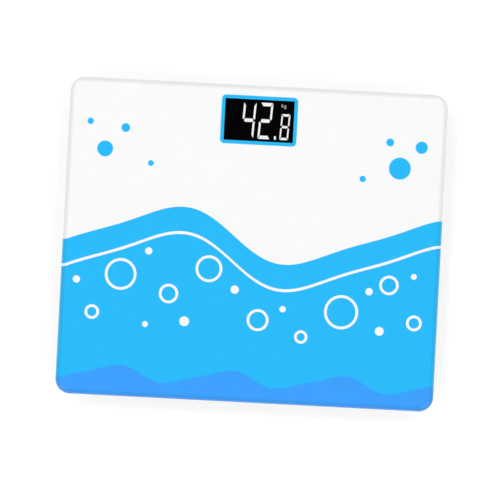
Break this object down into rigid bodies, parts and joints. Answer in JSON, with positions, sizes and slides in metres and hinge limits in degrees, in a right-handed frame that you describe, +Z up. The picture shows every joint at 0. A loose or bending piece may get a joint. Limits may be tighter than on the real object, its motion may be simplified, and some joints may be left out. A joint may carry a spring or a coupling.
{
  "type": "glass platform weighing scale",
  "caption": "Flat bathroom scale: printed glass platform with round corners on a tray base, digit display behind a window, sprung feet, unit button and hinged battery door below.",
  "frame": {"origin": "on the floor, under the middle of the glass platform", "axes": "+X to the right as the display is read, +Y towards the display edge, +Z up"},
  "size_m": [0.31, 0.26, 0.0271],
  "materials": {
    "platform_glass": "polished, ground round edge",
    "white_ink": "flat screen print behind glass",
    "sky_ink": "flat screen print behind glass",
    "deep_ink": "flat screen print behind glass",
    "mounting_tape": "foam tape",
    "shell_plastic": "fine satin moulding",
    "foot_rubber": "matt",
    "cell_steel": "plated",
    "sealant": "soft",
    "lead_insulation": "smooth",
    "screw_steel": "plated",
    "display_glass": "dark, polished",
    "lit_segments": "lit",
    "light_guide": "clear acrylic",
    "holder_plastic": "moulded",
    "connector_rubber": "soft",
    "gasket_foam": "foam",
    "circuit_board": "solder mask",
    "chip_resin": "cast",
    "switch_plastic": "moulded",
    "button_plastic": "moulded",
    "cell_wrap": "printed film, left blank",
    "contact_nickel": "plated"
  },
  "bodies": {
    "base": {"glass_platform": "platform_glass", "print_backing": "white_ink", "print_sky_wave": "sky_ink", "print_deep_wave": "deep_ink", "print_white_motifs": "white_ink", "print_display_border": "sky_ink", "glass_adhesive": "mounting_tape", "base_shell": "shell_plastic", "foot_retainer_fl": "shell_plastic", "foot_retainer_fr": "shell_plastic", "foot_retainer_bl": "shell_plastic", "foot_retainer_br": "shell_plastic", "load_cell_fl": "cell_steel", "load_cell_fr": "cell_steel", "load_cell_bl": "cell_steel", "load_cell_br": "cell_steel", "strain_gauge_fl": "sealant", "strain_gauge_fr": "sealant", "strain_gauge_bl": "sealant", "strain_gauge_br": "sealant", "cell_cable_fl": "lead_insulation", "cell_cable_fr": "lead_insulation", "cell_cable_bl": "lead_insulation", "cell_cable_br": "lead_insulation", "retainer_screws": "screw_steel", "lcd_front_glass": "display_glass", "lcd_rear_glass": "display_glass", "lcd_segments": "lit_segments", "backlight_panel": "light_guide", "lcd_holder": "holder_plastic", "zebra_strip": "connector_rubber", "window_gasket": "gasket_foam", "main_board": "circuit_board", "chip_blob": "chip_resin", "board_screws": "screw_steel", "tact_switch": "switch_plastic", "battery_cell_a": "cell_wrap", "battery_cell_b": "cell_wrap", "contact_positive": "contact_nickel", "contact_negative": "contact_nickel", "contact_bridge": "contact_nickel", "contact_springs": "contact_nickel", "battery_leads": "lead_insulation"},
    "foot_fl": {"foot_cap_fl": "shell_plastic", "foot_pad_fl": "foot_rubber"},
    "foot_fr": {"foot_cap_fr": "shell_plastic", "foot_pad_fr": "foot_rubber"},
    "foot_bl": {"foot_cap_bl": "shell_plastic", "foot_pad_bl": "foot_rubber"},
    "foot_br": {"foot_cap_br": "shell_plastic", "foot_pad_br": "foot_rubber"},
    "unit_button": {"unit_button": "button_plastic", "switch_plunger": "switch_plastic"},
    "battery_door": {"battery_door": "shell_plastic"}
  },
  "joints": [
    {"name": "foot_fl_press", "type": "slide", "parent": "base", "child": "foot_fl", "axis": [0, 0, 1], "range_m": [0, 0.0004], "stiffness_N_per_m": 2000, "springref_m": -0.005, "deforming": ["load_cell_fl"]},
    {"name": "foot_fr_press", "type": "slide", "parent": "base", "child": "foot_fr", "axis": [0, 0, 1], "range_m": [0, 0.0004], "stiffness_N_per_m": 2000, "springref_m": -0.005, "deforming": ["load_cell_fr"]},
    {"name": "foot_bl_press", "type": "slide", "parent": "base", "child": "foot_bl", "axis": [0, 0, 1], "range_m": [0, 0.0004], "stiffness_N_per_m": 2000, "springref_m": -0.005, "deforming": ["load_cell_bl"]},
    {"name": "foot_br_press", "type": "slide", "parent": "base", "child": "foot_br", "axis": [0, 0, 1], "range_m": [0, 0.0004], "stiffness_N_per_m": 2000, "springref_m": -0.005, "deforming": ["load_cell_br"]},
    {"name": "unit_button_press", "type": "slide", "parent": "base", "child": "unit_button", "axis": [0, 0, 1], "range_m": [0, 0.0003], "stiffness_N_per_m": 150, "springref_m": -0.004},
    {"name": "battery_door_hinge", "type": "hinge", "parent": "base", "child": "battery_door", "pos_m": [-0.0262, 0.044, 0.0068], "axis": [0, 1, 0], "range_deg": [0, 90]}
  ]
}
